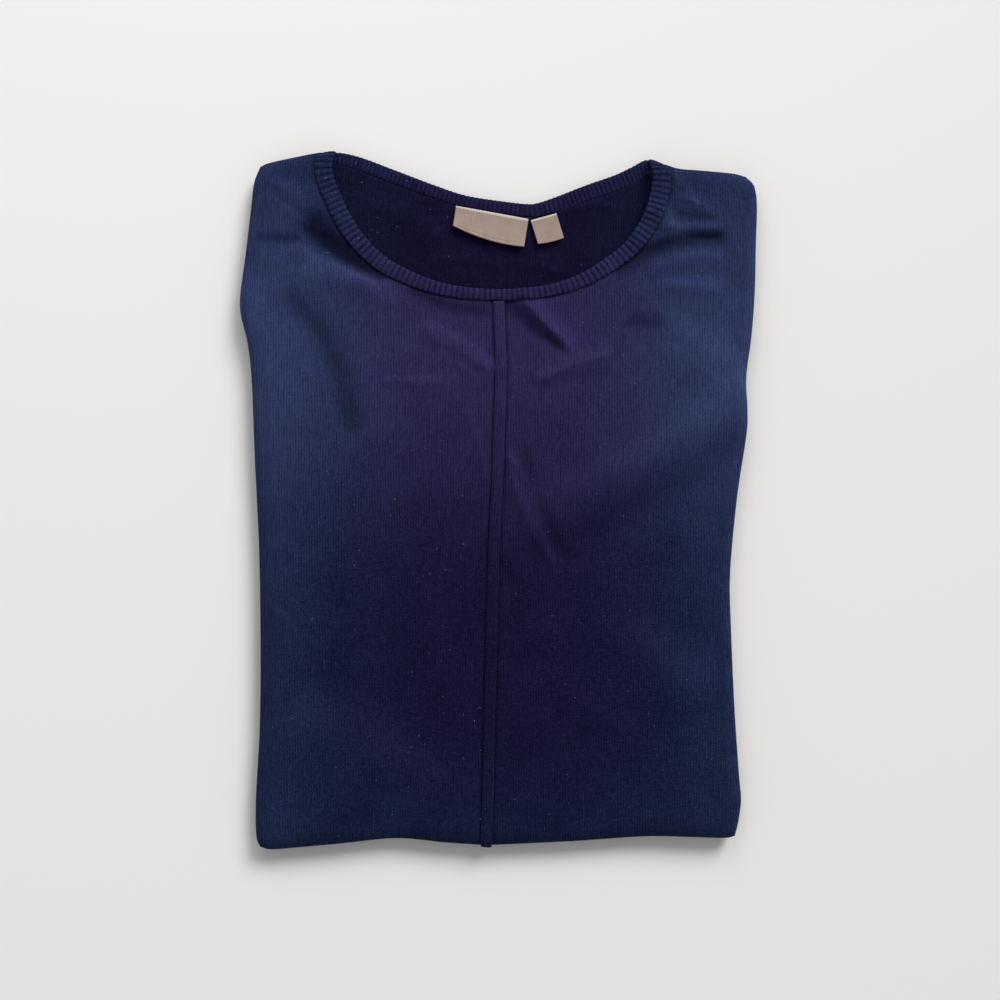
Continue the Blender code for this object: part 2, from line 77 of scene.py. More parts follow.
# Sizes set for the scene
TUCK_RISE = 1.6
TUCK_BASE = 0.45       # height of the tuck's sides, where its upper half starts
TUCK_DEPTH = 0.3
BAND_DROP = 4.2        # the ends of the front neckband hang this far down to the back one
SEAM_UNDER = 1.5       # the front runs this far under the neckband

# How far the cloth dips beside the stitched lines, and how dark the painted shade along the lines
# is
BAND_DIP, TUCK_DIP = 0.8, 0.5
BAND_LINE_SHADE, TUCK_LINE_SHADE = 0.35, 0.6
BAND_GROOVE_AT, BAND_GROOVE_REACH = 0.6, 1.5
TUCK_GROOVE_AT, TUCK_GROOVE_REACH = 0.7, 1.0

# Inside of the back: how far it reaches under the front, its rows, and its drop at the seam
BACK_START = 14.0
BACK_UNDER = 6.0
BACK_COLUMNS, BACK_ROWS = 180, 50
BACK_SEAM = 0.6
BACK_DROP, BACK_DROP_AT = 0.9, 0.94
BACK_LIFT = 0.25

# The tabs: rows and columns of points, and what is turned in at the seam
TAB_ROWS, TAB_COLUMNS = 24, 48
TAB_DOTTED_ROW = 20
TAB_CURL = 0.35

# How finely the cloth is drawn
CLOTH_STEP = 2.0       # spacing of the points of a front
SEAM_STRIP = 12.0      # within this distance of its inner boundary they lie twice as close
NOSE_STEPS = 8         # rows round the upper quarter of a fold
RIB_STATIONS = 8       # rows of points across one rib

# Ribs and stitches
FRONT_RIB = 3.8        # pitch of the ribs of the front neckband
BACK_RIB = 3.2
RIB_RISE = 0.8
RIB_SCALLOP = 0.35     # how far each rib stands out past the edge of its band
WALE = 1.9             # pitch of the columns of stitches in the body
COURSE = 1.5           # height of one stitch

# Painted shade and light: how dark the troughs and the inside of the neck look, and how pale the
# ridges
INSIDE_SHADE = 0.42    # how dark the inside of the neck is
FOLD_SHADE = 0.24      # how dark a millimetre of depth makes a trough
FINE_SHADE = 1.2       # how much stronger the fine creases are shaded
FOLD_LIGHT = 0.12       # how much paler a millimetre of height makes a ridge

# Outline of each half from above, as x, y
Half = namedtuple("Half", "bottom side shoulder split")
LEFT = Half(
    bottom=[(-8.8, -241.2), (-36, -239.4), (-72, -236.3), (-108, -239.8), (-140, -242.7),
            (-159, -244.1), (-166.8, -242.2)],
    side=[(-166.8, -242.2), (-169.6, -234), (-169.8, -208), (-167.2, -160), (-166.6, -110),
          (-167.4, -40), (-170.6, 30), (-172.8, 84), (-175.6, 110), (-180.2, 129),
          (-180.8, 143), (-177.4, 169), (-173.0, 206), (-171.2, 222), (-166.8, 233.4)],
    shoulder=[(-166.8, 233.4), (-160, 236.4), (-139, 241), (-126, 243.4), (-112, 245)],
    split=0.77)
RIGHT = Half(
    bottom=[(-8.4, -241.2), (20, -240.0), (58, -238.0), (103, -235.0), (135, -235.5),
            (158, -236.1), (165.4, -234.6)],
    side=[(165.4, -234.6), (168.0, -224), (169.8, -209), (168.4, -192), (165.2, -145),
          (162.6, -85), (162.2, -50), (167.0, 2), (173.6, 46), (174.3, 64), (173.4, 86),
          (177.0, 114), (179.4, 146), (180.2, 180), (180.9, 206), (179.2, 219.5),
          (173.2, 226.4)],
    shoulder=[(173.2, 226.4), (164, 228.8), (144, 230.8), (127, 232.2), (118, 234.8),
              (104, 240)],
    split=0.77)

# Middle line of the raised tuck, as x, y
TUCK_LINE = [(0.2, 139.2), (1.4, 102), (1.6, 84), (0.4, 50), (-0.7, 14), (-3.0, -28),
             (-4.2, -73), (-6.0, -140), (-7.4, -200), (-8.6, -241.2)]

# Inner edge of the front neckband from the left shoulder round to the right, as x, y, width
NECK = [(-113.2, 245.0, 12.5), (-115.8, 231, 12.5), (-110.4, 214, 12), (-101.2, 196, 12),
        (-91.5, 182.5, 11.5), (-76, 168.5, 11), (-55, 157.4, 9.5), (-32, 150.6, 8.5),
        (-7, 148.0, 8), (20, 148.6, 8), (40, 152.0, 8.5), (58, 158.6, 9.5), (74, 168.8, 10.5),
        (86, 178.0, 11), (95, 189.0, 12), (102, 201.5, 12.5), (106.4, 217, 13),
        (107.4, 229, 13), (104.4, 239.6, 13)]

# Upper edge of the back neckband, as x, y, width. Its ends run on under the front neckband.
BACK_EDGE = [(-119.5, 243.2, 9), (-112, 244.4, 9), (-97, 241.2, 9.2), (-76, 233.4, 9.4),
             (-46, 222, 8.8), (-23, 214.4, 8.4), (2, 210.4, 8.8), (20, 208.4, 9.2),
             (28, 209.2, 9.6), (42, 214, 10.4), (62, 221.8, 11), (82, 228.8, 11),
             (93, 234, 11), (103.5, 239.2, 11), (111, 236.6, 11)]

# Soft ridges (height above 0) and troughs (below 0), each along a line from x0, y0 to x1, y1,
# bowed sideways by bow, fading out at reach. Lean above 0 makes the left-hand flank steeper.
Fold = namedtuple("Fold", "name x0 y0 x1 y1 bow reach height lean", defaults=[0.0])
FRONT_FOLDS = [
    Fold("trough below the left neckband", -130, 190, -84, 161, -3, 15, -4.6, -0.2),
    Fold("step below that trough", -140, 176, -78, 150, -3, 9, 1.5, 0.3),
    Fold("dimple at the left side", -166, 182, -142, 181, 0, 7, -1.6),
    Fold("slack of the left chest", -143, 138, -104, 56, 8, 14, -2.0),
    Fold("ridge of the left chest", -133, 158, -78, 140, 4, 12, 1.6),
    Fold("bulge at the left side", -176, 150, -172, 120, 0, 14, 1.2),
    Fold("trough left of the neck centre", -58, 145, -12, 131, -3, 8, -1.8),
    Fold("ridge left of the tuck", -46, 119, -6, 94, 3, 10, 1.8, 0.2),
    Fold("soft line on the left", -78, 83, -42, 83, 0, 6, 0.6),
    Fold("lines beside the tuck", -23, 63, -8, 14, 2, 6, 0.7),
    Fold("wedge right of the tuck", 8, 136, 42, 108, -2, 8, -2.4),
    Fold("edge over the wedge", 19, 138, 47, 108, 0, 9, 2.2, -0.6),
    Fold("ridge on the right chest", 30, 85, 74, 101, 1, 8, 1.4, -0.55),
    Fold("shade under that ridge", 30, 78, 74, 90, 1, 7, -0.8),
    Fold("crease right of the tuck", 7, 32, 38, -43, -5, 6, 1.3, -0.3),
    Fold("shade of that crease", 18, 34, 49, -40, -5, 7, -1.1),
    Fold("hollow beside the tuck", 4, -45, 14, -82, 2, 9, -1.2),
    Fold("ridge by the right neckband", 112, 204, 124, 186, 0, 10, 2.0),
    Fold("crease out from that ridge", 126, 199, 150, 196, -1, 5, -1.5),
    Fold("lit roll below that crease", 116, 190, 152, 190, 1, 7, 0.8),
    Fold("trough of the right shoulder", 84, 164, 152, 184, 5, 10, -3.0, 0.3),
    Fold("ridge below that trough", 112, 164, 152, 170, 3, 9, 1.4),
    Fold("bright roll of the right chest", 118, 150, 150, 148, 1, 9, 1.3),
    Fold("hollow at the right side", 156, 176, 166, 150, 0, 12, -0.6),
    Fold("dimple of the right chest", 94, 124, 112, 122, 0, 11, -1.8),
    Fold("slack of the right chest", 120, 120, 170, 84, 4, 16, 1.4),
    Fold("strip from the right neck end", 122, 228, 138, 206, 0, 6, 1.2),
    Fold("long swell across the right", 168, 76, 24, 2, 6, 20, 1.4),
    Fold("hollow under that swell", 166, 44, 30, -34, 6, 20, -1.3),
    Fold("swell at the lower right", 98, -92, 142, -124, 0, 22, 1.0),
    Fold("swell at the lower left", -130, -150, -50, -190, 8, 26, 0.9),
]
BACK_FOLDS = [
    Fold("lifted patch of the back", -88, 206, -46, 184, 4, 16, 1.6),
    Fold("crease above the front band", -44, 168, 0, 164, 2, 6, 0.9),
    Fold("crease right of it", 16, 166, 44, 160, 0, 7, 0.8),
    Fold("fold under the right of the back band", 46, 203, 78, 206, 2, 6, 0.9),
]

# Creases too fine for the solids
FINE_FOLDS = [
    Fold("slant of the left shoulder", -162, 226, -136, 206, 2, 6, 0.7),
    Fold("slant under it", -150, 206, -124, 190, -2, 4, 0.7, 0.3),
    Fold("hair crease under the left neckband", -120, 172, -86, 152, -3, 4, 0.6, 0.3),
    Fold("tick at the left side", -164, -70, -147, -82, 0, 3, 0.5),
    Fold("hair crease of the left chest", -78, 84, -40, 82, 1, 2.6, 0.35),
    Fold("first diagonal by the tuck", -42, 112, -8, 92, 1, 3, 0.6, 0.2),
    Fold("second diagonal by the tuck", -40, 102, -10, 82, 1, 3, 0.5, 0.2),
    Fold("line beside the tuck", -20, 62, -9, 16, 1, 2.6, 0.4),
    Fold("hair crease right of the tuck", 8, 30, 26, 6, -1, 2.6, 0.8, -0.4),
    Fold("its lower run", 25, 8, 38, -42, -3, 2.8, 0.7, -0.4),
    Fold("slant of the right shoulder", 124, 214, 150, 198, 2, 4, 0.6),
    Fold("second slant of the right shoulder", 122, 210, 148, 204, 2, 3, 0.5),
    Fold("sharp line of the right crease", 112, 189, 152, 184, -1, 3, -0.7),
    Fold("crisp edge of the wedge", 21, 136, 47, 108, 0, 3, 0.8, -0.5),
    Fold("tick at the right side", 149, -54, 159, -64, 0, 3, 0.6),
    Fold("streak over the bottom fold", -94, -235, -74, -230, 0, 3, 0.5),
    Fold("slack of the right side", 118, 106, 160, 74, 4, 5, 0.5),
    Fold("swell of the lower middle", 30, -120, 90, -160, 4, 16, 0.4),
    Fold("hollow of the lower left", -120, -60, -60, -110, -6, 20, -0.5),
]

# Edge of the hidden layers from the underside up: how far in from the outline, and height
Step = namedtuple("Step", "inset height")
EDGE_LAYERS = [Step(3.6, 0.0), Step(2.6, 0.35), Step(2.3, 0.9), Step(2.6, 1.5), Step(3.4, 1.9),
               Step(4.8, 2.2), Step(3.2, 2.45), Step(2.0, 2.8), Step(1.3, 3.4), Step(1.4, 4.0),
               Step(2.4, 4.45), Step(4.5, SHELF), Step(9.0, SHELF)]
GROOVE_HEIGHT = 2.2
EDGE_UNEVEN = 0.45
EDGE_WAVES = 7
LAYER_POINTS = 420

# Corners of the labels: top left, top right, bottom right, bottom left
Label = namedtuple("Label", "corners bow lift dotted")
MAIN_LABEL = Label([(-29.8, 206.6), (21.0, 197.4), (17.9, 177.5), (-31.9, 192.2)], -2.6, 2.2, 1)
SIZE_LABEL = Label([(22.6, 196.4), (40.6, 201.4), (45.9, 183.8), (27.7, 179.6)], -0.6, 1.4, 0)

# How the colour changes over the cloth: paler across the chest, a painted sheen, and paler at the
# folded edges;
# bluer towards the sides and the bottom fold
PLAIN_WEAR = 0.08
# Painted sheen across the chest, for the body, the neckbands and the inside of the back
CHEST_SHEEN = 0.5
BAND_SHEEN = 0.4
INSIDE_SHEEN = 0.08
CHEST_LINE = 105.0
CHEST_REACH = 110.0
EDGE_PALENESS = 0.15
EDGE_START = 110.0
EDGE_REACH = 50.0
SIDE_BLUE_START = 40.0
SIDE_BLUE_REACH = 110.0
HEM_BLUE_START = -150.0
HEM_BLUE_REACH = 90.0

# Colours, as linear red, green, blue and alpha
DEEP_PURPLE = (0.0050, 0.0034, 0.0240, 1)
DEEP_BLUE = (0.0042, 0.0088, 0.0320, 1)
PALE_PURPLE = (0.0510, 0.0350, 0.1340, 1)
PALE_BLUE = (0.0480, 0.0700, 0.1850, 1)
SHADOW_NAVY = (0.0008, 0.0008, 0.0050, 1)
LINT = (0.140, 0.160, 0.260, 1)
NAP = (0.30, 0.35, 0.90, 1)
WOVEN_DARK = (0.255, 0.195, 0.165, 1)
WOVEN_PALE = (0.385, 0.300, 0.255, 1)
WOVEN_EDGE = (0.62, 0.56, 0.51, 1)
WOVEN_DOTS = (0.10, 0.075, 0.06, 1)
WOVEN_SHEEN = (0.9, 0.85, 0.8, 1)
FLOOR_COLOUR = (0.80, 0.79, 0.775, 1)

# Photographed from straight above
PHOTO_WIDTH = 700.0      # width of the view at the height of the folds
CAMERA_HEIGHT = 1200.0
CAMERA_AIM = (1.05, 0.35)
SENSOR = 36              # millimetres

# Light: a soft one from the upper right, a broad one behind the neck and a pale room.
# Where the lamps stand is in metres.
KEY_ENERGY = 2.6
KEY_ANGLE = 26           # degrees
KEY_COLOUR = (1.0, 0.985, 0.96)
KEY_FROM = (0.8, 1.25, 1.05)
TOP_SIZE = 0.8
TOP_ENERGY = 6.0
TOP_FROM = (-0.2, 1.2, 0.9)
ROOM_COLOUR = (0.96, 0.97, 1.0, 1)
ROOM_STRENGTH = 0.41
FLOOR_HALF = 3           # metres


def spline(points, steps=8):
    """A smooth line through the points."""
    knots = np.array(points, float)
    ends = np.vstack([2 * knots[0] - knots[1], knots, 2 * knots[-1] - knots[-2]])
    t = np.linspace(0, 1, steps, endpoint=False)[:, None]
    spans = []
    for a, b, c, d in zip(ends, ends[1:], ends[2:], ends[3:]):
        spans.append(0.5 * (2 * b + (c - a) * t + (2 * a - 5 * b + 4 * c - d) * t ** 2
                            + (3 * b - a - 3 * c + d) * t ** 3))
    return np.vstack(spans + [knots[-1:]])


def run_along(line):
    """Length run from the start of a line to each of its points."""
    steps = np.linalg.norm(np.diff(line, axis=0), axis=1)
    return np.concatenate([[0.0], np.cumsum(steps)])


def read_at(marks, run, columns):
    """Each column of values, read at the marks along a run."""
    return np.column_stack([np.interp(marks, run, column) for column in columns.T])


def at_run(line, runs):
    """Points of a line at the given lengths from its start."""
    return read_at(runs, run_along(line), line)


def at_share(line, shares):
    """Points of a line at the given shares of its length."""
    return at_run(line, np.asarray(shares) * run_along(line)[-1])


def smooth_step(value):
    """From 0 to 1, with no corner at either end."""
    t = np.clip(value, 0, 1)
    return t * t * (3 - 2 * t)


def signed_distance(points, line):
    """Distance in plan to a line, above zero on its left-hand side."""
    start = line[:-1, :2]
    span = line[1:, :2] - start
    result = np.empty(len(points))
    for first in range(0, len(points), 4000):
        part = points[first:first + 4000, :2]
        to_point = part[:, None] - start
        share = np.clip((to_point * span).sum(2) / (span * span).sum(1), 0, 1)
        offset = to_point - share[..., None] * span
        length = np.linalg.norm(offset, axis=2)
        nearest = length.argmin(1)
        row = np.arange(len(part))
        cross = (span[nearest, 0] * offset[row, nearest, 1]
                 - span[nearest, 1] * offset[row, nearest, 0])
        result[first:first + 4000] = length[row, nearest] * np.where(cross >= 0, 1, -1)
    return result


def fold_sum(points, folds):
    """Height that the folds add at each point."""
    total = np.zeros(len(points))
    for fold in folds:
        start = np.array([fold.x0, fold.y0])
        span = np.array([fold.x1, fold.y1]) - start
        length = np.linalg.norm(span)
        along = (points[:, :2] - start) @ span / length ** 2
        across = (points[:, :2] - start) @ np.array([-span[1], span[0]]) / length
        middle = np.clip(along, 0, 1)
        across = across - fold.bow * 4 * middle * (1 - middle)
        past = (along - middle) * length
        reach = 0.6 * fold.reach * (1 - fold.lean * np.tanh(across))
        total += fold.height * np.exp(-(across / reach) ** 2 - (past / 0.6 / fold.reach) ** 2)
    return total


def ripple(points, size, height, seed):
    """Slack of the cloth: soft uneven waves of about one size."""
    offset = Vector((seed * 7.3, seed * 3.1, seed))
    return height * np.array([noise.noise(Vector((x / size, y / size, 0)) + offset)
                              for x, y in points[:, :2]])


def crown(points):
    """Height of the pile's face without its folds."""
    x, y = points[:, 0], points[:, 1]
    side = SIDE_RISE * (x / 170) ** 2
    neck = NECK_SAG * np.exp(-(x / 80) ** 2 - ((y - 150) / 60) ** 2)
    shoulder = SHOULDER_SAG * np.exp(-((y - 245) / 55) ** 2)
    return PANEL_HEIGHT + side - neck - shoulder


def half_outline(half):
    """Bottom, side and shoulder of one half as a single line."""
    parts = [spline(half.bottom), spline(half.side)[1:], spline(half.shoulder)[1:]]
    return np.vstack(parts)


def face_top(points):
    """Height of the front's face with every fold, away from its turned edges."""
    top = crown(points) + fold_sum(points, FRONT_FOLDS) + fold_sum(points, FINE_FOLDS)
    return top + ripple(points, 38, 0.5, 1) + ripple(points, 13, 0.16, 2)


def face_height(points, outline):
    """Height of a front's outer face, turning down at the outline."""
    inset = np.abs(signed_distance(points, outline))
    turn = np.sqrt(1 - (1 - np.clip(inset / NOSE_REACH, 0, 1)) ** 2)
    return NOSE_HEIGHT + (face_top(points) - NOSE_HEIGHT) * turn


def inward(points, inset):
    """Move outline points towards the middle of the pile, also round the corners."""
    x, y = points[:, 0], points[:, 1]
    pull_x = np.clip((np.abs(x) - 120) / 40, 0, 1) * inset
    pull_y = np.clip((np.abs(y) - 165) / 38, 0, 1) * inset
    return np.column_stack([x - np.sign(x) * pull_x, y - np.sign(y) * pull_y])


def neck_edges():
    """Inner edge, way out from it and widths of the front neckband."""
    line = spline(NECK)
    inner = line[:, :2]
    tangent = np.gradient(inner, axis=0)
    tangent /= np.linalg.norm(tangent, axis=1)[:, None]
    outward = np.column_stack([tangent[:, 1], -tangent[:, 0]])
    run = run_along(inner)
    for half, from_end in ((LEFT, run), (RIGHT, run[-1] - run)):
        along = np.array(half.shoulder[-2]) - np.array(half.shoulder[-1])
        share = smooth_step(1 - from_end / SHOULDER_TURN)[:, None]
        outward = outward * (1 - share) + along / np.linalg.norm(along) * share
    outward /= np.linalg.norm(outward, axis=1)[:, None]
    return inner, outward, line[:, 2]


def bed_height(points):
    """Top of the hidden layers."""
    inner = neck_edges()[0]
    reach_up = np.array([0, 30])
    line = np.vstack([inner[0] + reach_up, inner, inner[-1] + reach_up])
    rise = smooth_step((-signed_distance(points, line) - BED_CLEAR) / BED_RAMP)
    return BED_LOW + (crown(points) - BED_DROP - BED_LOW) * rise


def join_sheets(name, sheets, merge=True):
    """One cloth surface from grids of points. Each sheet is its rows of points and the places
    of those points on the flat cloth, which the surface keeps as its attribute 'cloth'."""
    whole = bmesh.new()
    layer = whole.verts.layers.float_vector.new("cloth")
    for rows, cloth in sheets:
        count, width = rows.shape[:2]
        grid = bmesh.ops.create_grid(whole, x_segments=width - 1, y_segments=count - 1, size=1)
        for vert, point, place in zip(grid["verts"], rows.reshape(-1, 3),
                                      cloth.reshape(-1, 2)):
            vert.co = ((point[0] - PILE_MIDDLE[0]) * MM, (point[1] - PILE_MIDDLE[1]) * MM,
                       point[2] * MM)
            vert[layer] = (place[0], place[1], 0.0)
    if merge:
        bmesh.ops.remove_doubles(whole, verts=whole.verts, dist=0.005 * MM)
        bmesh.ops.recalc_face_normals(whole, faces=whole.faces)
    if sum(face.normal.z * face.calc_area() for face in whole.faces) < 0:
        bmesh.ops.reverse_faces(whole, faces=whole.faces)
    mesh = bpy.data.meshes.new(name)
    whole.to_mesh(mesh)
    whole.free()
    mesh.shade_smooth()
    return mesh


def add_piece(name, mesh, material, node):
    """Put a finished mesh in the scene in place of a node."""
    piece = bpy.data.objects.new(name, mesh)
    bpy.context.scene.collection.objects.link(piece)
    mesh.materials.append(material)
    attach(piece, "root")
    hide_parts(node)
    return piece


def thicken(piece, thickness):
    """Give a sheet its wall, below the drawn side."""
    wall = piece.modifiers.new("wall", "SOLIDIFY")
    wall.thickness = thickness * MM
    wall.offset = -1
    wall.use_even_offset = True


def mesh_points(mesh):
    """The points of a mesh, in millimetres."""
    points = np.empty(len(mesh.vertices) * 3)
    mesh.vertices.foreach_get("co", points)
    return points.reshape(-1, 3) / MM


def paint_tone_and_sheen(mesh, chest_sheen):
    """Keep how pale each point is, with a painted sheen across the chest, and how blue it is."""
    points = mesh_points(mesh)
    out, y = np.abs(points[:, 0]), points[:, 1]
    # Painted sheen: paler in a broad band across the upper chest
    chest = np.exp(-((y - CHEST_LINE) / CHEST_REACH) ** 2)
    edge = smooth_step((out - EDGE_START) / EDGE_REACH)
    side = smooth_step((out - SIDE_BLUE_START) / SIDE_BLUE_REACH)
    hem = smooth_step((HEM_BLUE_START - y) / HEM_BLUE_REACH)
    keep_values(mesh, "paleness_and_sheen", PLAIN_WEAR + chest_sheen * chest + EDGE_PALENESS * edge)
    keep_values(mesh, "blue", np.clip(0.1 + side + 0.8 * hem, 0, 1))


def keep_values(mesh, name, values):
    """Keep a value for each point, for the materials."""
    attribute = mesh.attributes.new(name, "FLOAT", "POINT")
    attribute.data.foreach_set("value", values)


def seam_line(half, side):
    """Inner boundary of a front: up beside the centre seam, then round the neckband."""
    seam = spline(TUCK_LINE)[::-1]
    seam = seam + np.array([side * SEAM_GAP * 0.6, 0])
    inner, outward, width = neck_edges()
    edge = inner + outward * (width - SEAM_UNDER)[:, None]
    if side < 0:
        edge = edge[::-1]
    edge = edge[(edge[:, 0] - seam[-1, 0]) * side > 1]
    top = spline(half.shoulder)
    edge = edge[edge[:, 1] < np.interp(edge[-1, 0] * side, top[::-1, 0] * side, top[::-1, 1]) - 1]
    meet = top[np.linalg.norm(top - edge[-1], axis=1).argmin()]
    return np.vstack([seam, edge, meet]), run_along(seam)[-1]


def nose_rows(steps):
    """Distances in from the outline at which the fold has turned by equal angles."""
    angles = np.linspace(0, math.pi / 2, steps + 1)[::-1]
    return NOSE_REACH * (1 - np.sin(angles))


def seam_rows():
    """Rows of points of a front along the centre seam, above its bottom fold."""
    length = run_along(spline(TUCK_LINE))[-1]
    return round((length - NOSE_REACH) / CLOTH_STEP)


def front_rows(half, side):
    """Plan of one front as rows from the bottom fold to the shoulder."""
    inner, split_run = seam_line(half, side)
    outer = spline(half.side)
    bottom = spline(half.bottom)
    shoulder = spline(half.shoulder)
    shoulder = shoulder[:np.linalg.norm(shoulder - inner[-1], axis=1).argmin() + 1][::-1]
    inner_end, outer_end = run_along(inner)[-1], run_along(outer)[-1]
    turn = nose_rows(NOSE_STEPS)
    outer_split = half.split * outer_end
    body_rows = seam_rows()
    neck_rows = round((inner_end - NOSE_REACH - split_run) / CLOTH_STEP)
    columns = round((165 - NOSE_REACH - SEAM_STRIP) / CLOTH_STEP)
    neck = np.linspace(split_run, inner_end - NOSE_REACH, neck_rows, endpoint=False)
    climb = at_run(inner, neck)[:, 1] - inner[-1, 1]
    progress = 0.5 * (1 - climb / climb[0]) + 0.5 * np.linspace(0, 1, neck_rows, endpoint=False)
    inner_runs = np.concatenate([
        turn[:-1], np.linspace(NOSE_REACH, split_run, body_rows, endpoint=False),
        neck, inner_end - turn[::-1]])
    outer_runs = np.concatenate([
        turn[:-1], np.linspace(NOSE_REACH, outer_split, body_rows, endpoint=False),
        outer_split + (outer_end - NOSE_REACH - outer_split) * progress,
        outer_end - turn[::-1]])
    rows = []
    for start, end, height in zip(at_run(inner, inner_runs), at_run(outer, outer_runs),
                                  outer_runs / outer_end):
        length = np.linalg.norm(end - start)
        near = SEAM_STRIP / length
        share = np.concatenate([
            np.linspace(0, near, round(2 * SEAM_STRIP / CLOTH_STEP), endpoint=False),
            np.linspace(near, 1 - NOSE_REACH / length, columns, endpoint=False),
            1 - turn[::-1] / length])
        straight = start + (end - start) * share[:, None]
        low = at_share(bottom, share) - (bottom[0] + (bottom[-1] - bottom[0]) * share[:, None])
        high = at_share(shoulder, share)
        high = high - (shoulder[0] + (shoulder[-1] - shoulder[0]) * share[:, None])
        rows.append(straight + low * (1 - height) + high * height)
    return np.array(rows)


def unrolled(plan, outline):
    """Place on the flat cloth of points near a fold: the turned part is laid out flat."""
    inset = np.abs(signed_distance(plan, outline))
    turned = np.arccos(1 - np.clip(1 - inset / NOSE_REACH, 0, 1))
    hidden = NOSE_REACH * np.clip(1 - inset / NOSE_REACH, 0, 1)
    arc = (NOSE_REACH + PANEL_HEIGHT - NOSE_HEIGHT) / 2 * turned - hidden
    way = plan - inward(plan, 1.0)
    return plan + way * np.clip(arc, 0, None)[:, None]


def seam_grooves(points):
    """How near each point is to the stitched lines beside the tuck and the neckband."""
    inner, outward, width = neck_edges()
    band_edge = inner + outward * width[:, None]
    from_band = np.abs(signed_distance(points, band_edge))
    band = np.exp(-((from_band - BAND_GROOVE_AT) / BAND_GROOVE_REACH) ** 2)
    from_tuck = np.abs(signed_distance(points, spline(TUCK_LINE)))
    tuck = np.exp(-((from_tuck - TUCK_WIDTH / 2 - TUCK_GROOVE_AT) / TUCK_GROOVE_REACH) ** 2)
    return band, tuck


def front(name, node, half, side, material):
    """One half of the front, folded round the bottom, the side and the shoulder."""
    outline = half_outline(half)
    plan = front_rows(half, side)
    flat = plan.reshape(-1, 2)
    band, tuck = seam_grooves(flat)
    height = face_height(flat, outline) - BAND_DIP * band - TUCK_DIP * tuck
    rows = np.column_stack([flat, height]).reshape(plan.shape[0], plan.shape[1], 3)
    rows[0, :, 2] = rows[-1, :, 2] = rows[:, -1, 2] = NOSE_HEIGHT
    cloth = unrolled(flat, outline).reshape(plan.shape)
    border = np.vstack([plan[0], plan[1:-1, -1], plan[-1][::-1]])
    border_cloth = np.vstack([cloth[0], cloth[1:-1, -1], cloth[-1][::-1]])
    lip = [np.column_stack([border, np.full(len(border), NOSE_HEIGHT)])]
    lip_cloth = [border_cloth]
    way = border - inward(border, 1.0)
    for angle in np.radians(np.linspace(102, 180, 8)):
        under = inward(border, LIP_REACH * (1 - math.sin(angle)))
        level = NOSE_HEIGHT + (NOSE_HEIGHT - LIP_HEIGHT) * math.cos(angle)
        lip.append(np.column_stack([under, np.full(len(under), level)]))
        lip_cloth.append(border_cloth + way * LIP_REACH * (angle - math.pi / 2))
    under = inward(border, LIP_END)
    lip.append(np.column_stack([under, np.full(len(under), LIP_HEIGHT)]))
    lip_cloth.append(border_cloth + way * (LIP_REACH * math.pi / 2 + LIP_END - LIP_REACH))
    mesh = join_sheets(name, [(rows, cloth), (np.array(lip), np.array(lip_cloth))])
    paint_tone_and_sheen(mesh, CHEST_SHEEN)
    places = mesh_points(mesh)[:, :2] + np.array(PILE_MIDDLE)
    band, tuck = seam_grooves(places)
    # Painted shade: troughs are darkened by their depth, and the lines beside the tuck and the
    # neckband along their grooves
    depth = -fold_sum(places, FRONT_FOLDS) - FINE_SHADE * fold_sum(places, FINE_FOLDS)
    shade = FOLD_SHADE * np.clip(depth, 0, 4)
    lines = BAND_LINE_SHADE * band + TUCK_LINE_SHADE * tuck
    keep_values(mesh, "painted_shade", np.clip(lines + shade, 0, 0.95))
    # Painted light: ridges are made paler by their height
    keep_values(mesh, "ridge_light", np.clip(FOLD_LIGHT * -depth, 0, 0.5))
    piece = add_piece(name, mesh, material, node)
    thicken(piece, WALL)
    return rows


def sweep(path, across, section):
    """Rings of points along a path; section(k) gives ring k as across and height pairs."""
    tangent = np.gradient(path, axis=0)
    normal = np.cross(tangent, across)
    normal /= np.linalg.norm(normal, axis=1)[:, None]
    rings = []
    for k, point in enumerate(path):
        shape = section(k)
        rings.append(point + across[k] * shape[:, :1] + normal[k] * shape[:, 1:])
    return np.array(rings)


def tube(name, rings, cloth):
    """A closed strip from rings, with a cap drawn in to a point at each end."""
    rings = np.concatenate([rings, rings[:, :1]], axis=1)
    cloth = np.concatenate([cloth, 2 * cloth[:, -1:] - cloth[:, -2:-1]], axis=1)
    first, last = rings[0].mean(0), rings[-1].mean(0)
    caps = [first + (rings[0] - first) * share for share in (0.0, 0.5)]
    ends = [last + (rings[-1] - last) * share for share in (0.5, 0.0)]
    rows = np.concatenate([caps, rings, ends])
    places = np.concatenate([cloth[:1], cloth[:1], cloth, cloth[-1:], cloth[-1:]])
    return join_sheets(name, [(rows, places)])


def band_section(width, rise, sides=24):
    """Rounded double knit, lower towards the seam. Its upper side carries the ribs."""
    turn = np.linspace(0, 2 * math.pi, sides, endpoint=False)
    across = 0.5 * width * (1 - np.sign(np.cos(turn)) * np.abs(np.cos(turn)) ** 0.7)
    wave = np.sign(np.sin(turn)) * np.abs(np.sin(turn)) ** 0.75
    slope = 1 - 0.45 * (across / width) ** 2
    height = np.where(wave > 0, wave * rise * slope, wave * BAND_DEPTH)
    return np.column_stack([across, height])


def rib_rise(position, pitch):
    """Height of the ribs at a length along the band."""
    wave = np.abs(np.cos(math.pi * position / pitch)) ** 0.8
    return BAND_RISE - RIB_RISE * (1 - wave)


